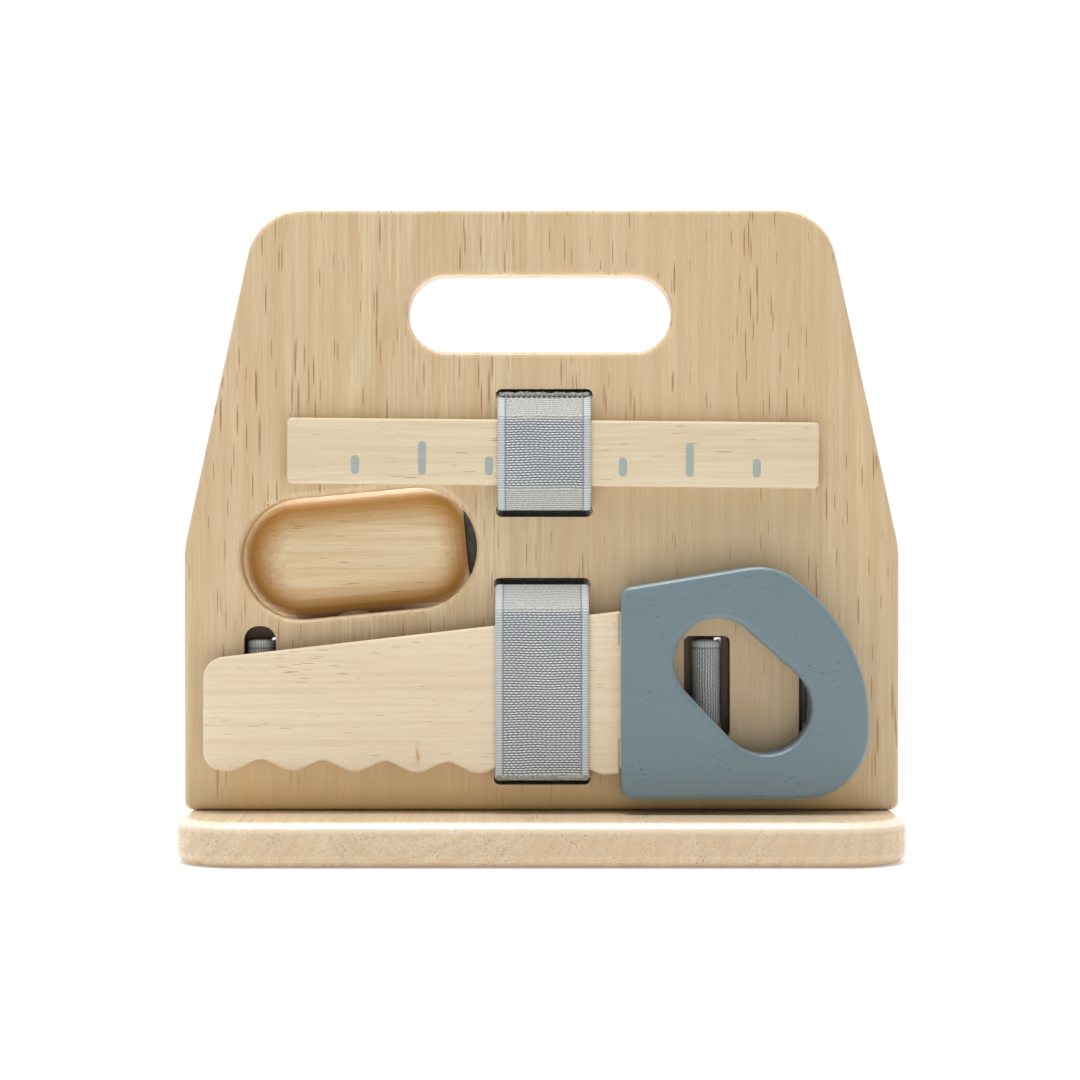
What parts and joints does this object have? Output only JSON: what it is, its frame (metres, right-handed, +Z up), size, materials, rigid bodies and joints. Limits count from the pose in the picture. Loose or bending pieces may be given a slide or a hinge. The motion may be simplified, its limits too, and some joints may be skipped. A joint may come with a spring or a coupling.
{
  "type": "toy tool carrier",
  "caption": "Wooden toy tool carrier: upright board with a carry hole on a base plank, elastic straps holding a ruler, a saw, a hammer and a screwdriver.",
  "frame": {"origin": "centre of the bounding box at its lowest level, on the surface the base plank stands on", "axes": "+Z up, +X to the right as seen from the front, the front faces -Y"},
  "size_m": [0.27, 0.1, 0.2441],
  "materials": {
    "board_wood": "clear satin lacquer on rubberwood, upright grain",
    "base_wood": "clear satin lacquer on rubberwood",
    "light_wood": "pale satin rubberwood, lengthwise grain",
    "head_wood": "satin rubberwood with rounded edges",
    "blue_grey_paint": "satin blue-grey stain over open pores",
    "dark_grey_rubber": "matte dark grey",
    "webbing": "ribbed grey elastic webbing",
    "zinc_steel": "zinc-plated"
  },
  "bodies": {
    "carrier": {"back_board": "board_wood", "base_plank": "base_wood", "base_screw_1": "zinc_steel", "base_screw_2": "zinc_steel", "base_screw_3": "zinc_steel", "base_screw_4": "zinc_steel", "base_dowel_1": "light_wood", "base_dowel_2": "light_wood", "ruler_strap": "webbing", "saw_strap": "webbing", "hammer_strap": "webbing", "screwdriver_strap": "webbing", "strap_pin_1": "light_wood", "strap_pin_2": "light_wood", "strap_pin_3": "light_wood", "strap_pin_4": "light_wood"},
    "ruler": {"ruler": "light_wood"},
    "saw": {"saw_blade": "light_wood", "saw_handle": "blue_grey_paint"},
    "hammer": {"hammer_head": "head_wood", "hammer_cap": "dark_grey_rubber", "hammer_handle": "head_wood"},
    "screwdriver": {"screwdriver_handle": "blue_grey_paint", "screwdriver_shaft": "zinc_steel"}
  },
  "joints": [
    {"name": "ruler_slide", "type": "slide", "parent": "carrier", "child": "ruler", "axis": [1, 0, -0.0094], "range_m": [-0.125, 0.125]},
    {"name": "saw_slide", "type": "slide", "parent": "carrier", "child": "saw", "axis": [1, 0, 0], "range_m": [0, 0.15]},
    {"name": "hammer_tilt", "type": "hinge", "parent": "carrier", "child": "hammer", "pos_m": [-0.0645, 0.0187, 0.024], "axis": [-1, 0, 0], "range_deg": [0, 12], "stiffness_Nm_per_rad": 1, "springref_deg": -8.59, "deforming": ["hammer_strap"]},
    {"name": "screwdriver_slide", "type": "slide", "parent": "carrier", "child": "screwdriver", "axis": [0, 0, 1], "range_m": [0, 0.07]}
  ]
}
